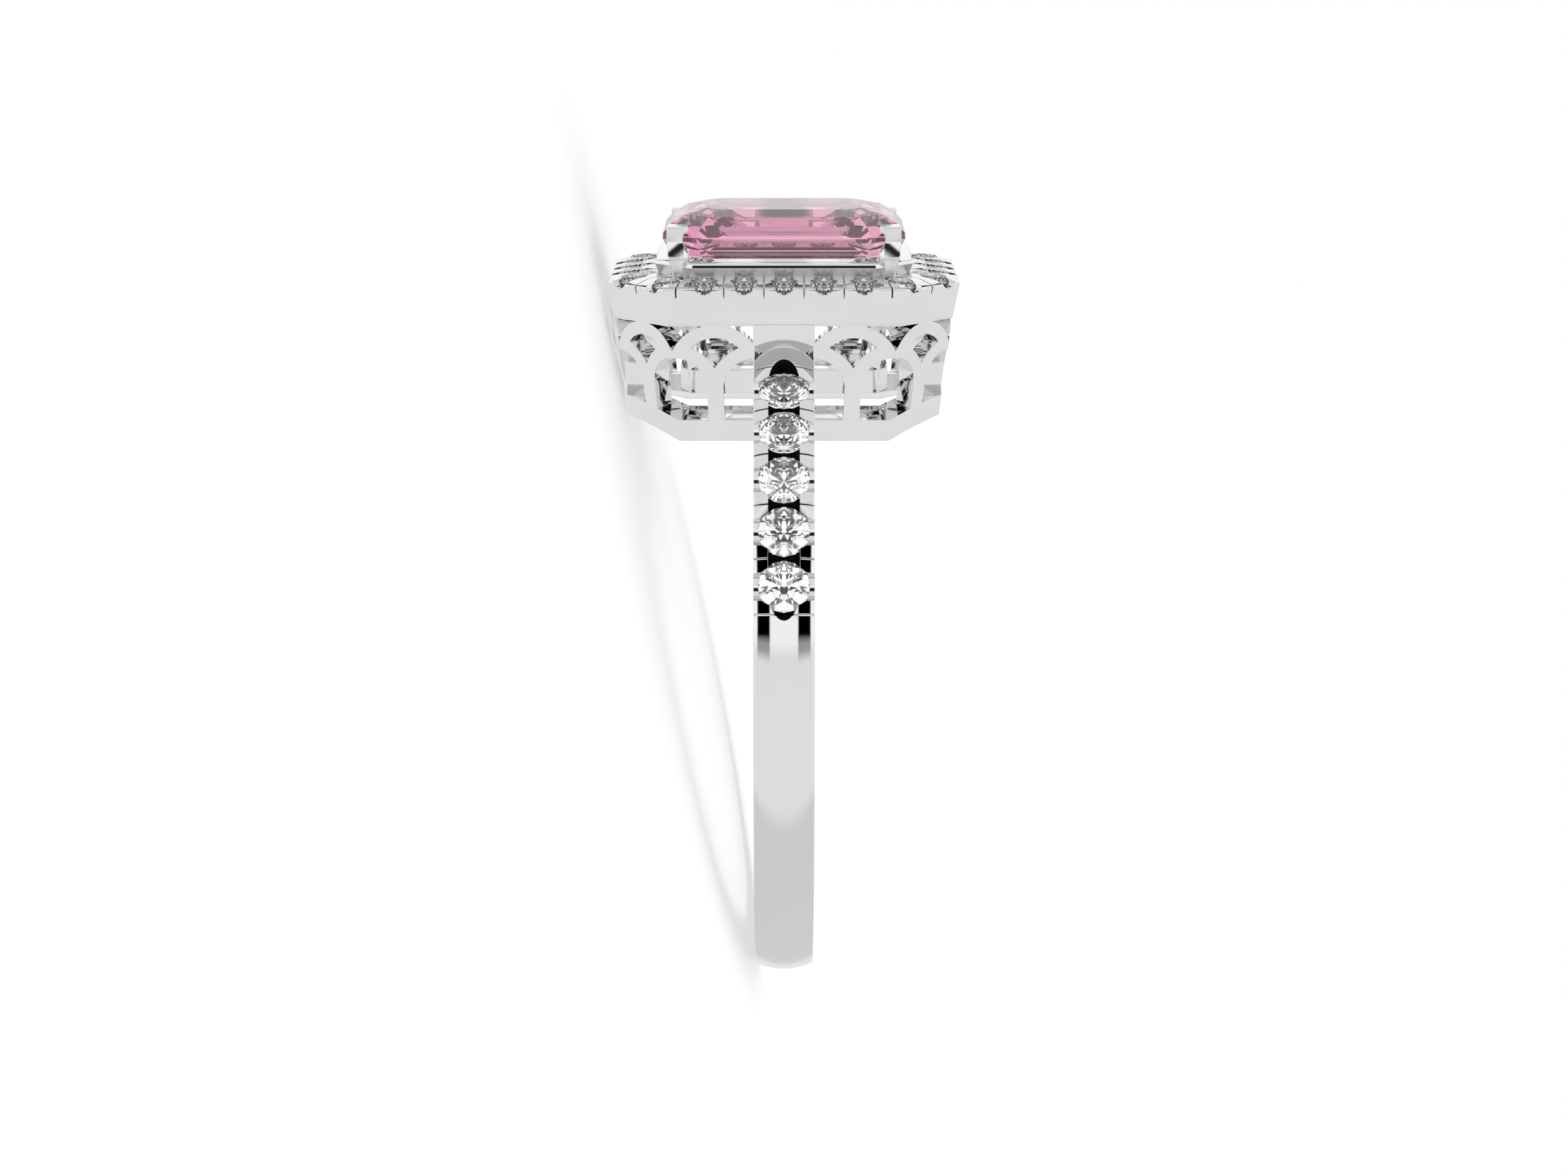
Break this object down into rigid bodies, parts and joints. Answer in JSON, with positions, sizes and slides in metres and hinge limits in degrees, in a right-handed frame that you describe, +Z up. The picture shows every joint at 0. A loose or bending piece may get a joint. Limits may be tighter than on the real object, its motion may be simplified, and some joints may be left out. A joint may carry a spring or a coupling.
{
  "type": "halo engagement ring",
  "caption": "Finger ring with an octagonal step-cut stone in a halo of small brilliants, on a pierced arcade gallery and a shank with stone-set shoulders, lying on its side.",
  "frame": {"origin": "centre of the ring's box in X and Y, at the surface that it lies on", "axes": "+Z up from the surface, through the ring's shortest extent; X along the longest extent, from the back of the shank at +X to the head at -X; the finger axis leans 12.2 degrees from +Z towards +X"},
  "size_m": [0.0254, 0.0224, 0.0112],
  "materials": {
    "white_gold": "mirror polish, slightly warm white gold",
    "pink_stone": "transparent rose pink, step cut and polished",
    "brilliant": "clear and colourless, brilliant cut and polished"
  },
  "bodies": {
    "root": {"mounting": "white_gold", "centre_stone": "pink_stone", "halo_stone_01": "brilliant", "halo_stone_02": "brilliant", "halo_stone_03": "brilliant", "halo_stone_04": "brilliant", "halo_stone_05": "brilliant", "halo_stone_06": "brilliant", "halo_stone_07": "brilliant", "halo_stone_08": "brilliant", "halo_stone_09": "brilliant", "halo_stone_10": "brilliant", "halo_stone_11": "brilliant", "halo_stone_12": "brilliant", "halo_stone_13": "brilliant", "halo_stone_14": "brilliant", "halo_stone_15": "brilliant", "halo_stone_16": "brilliant", "halo_stone_17": "brilliant", "halo_stone_18": "brilliant", "halo_stone_19": "brilliant", "halo_stone_20": "brilliant", "halo_stone_21": "brilliant", "halo_stone_22": "brilliant", "halo_stone_23": "brilliant", "halo_stone_24": "brilliant", "shoulder_stone_01": "brilliant", "shoulder_stone_02": "brilliant", "shoulder_stone_03": "brilliant", "shoulder_stone_04": "brilliant", "shoulder_stone_05": "brilliant", "shoulder_stone_06": "brilliant", "shoulder_stone_07": "brilliant", "shoulder_stone_08": "brilliant", "shoulder_stone_09": "brilliant", "shoulder_stone_10": "brilliant"}
  },
  "joints": []
}
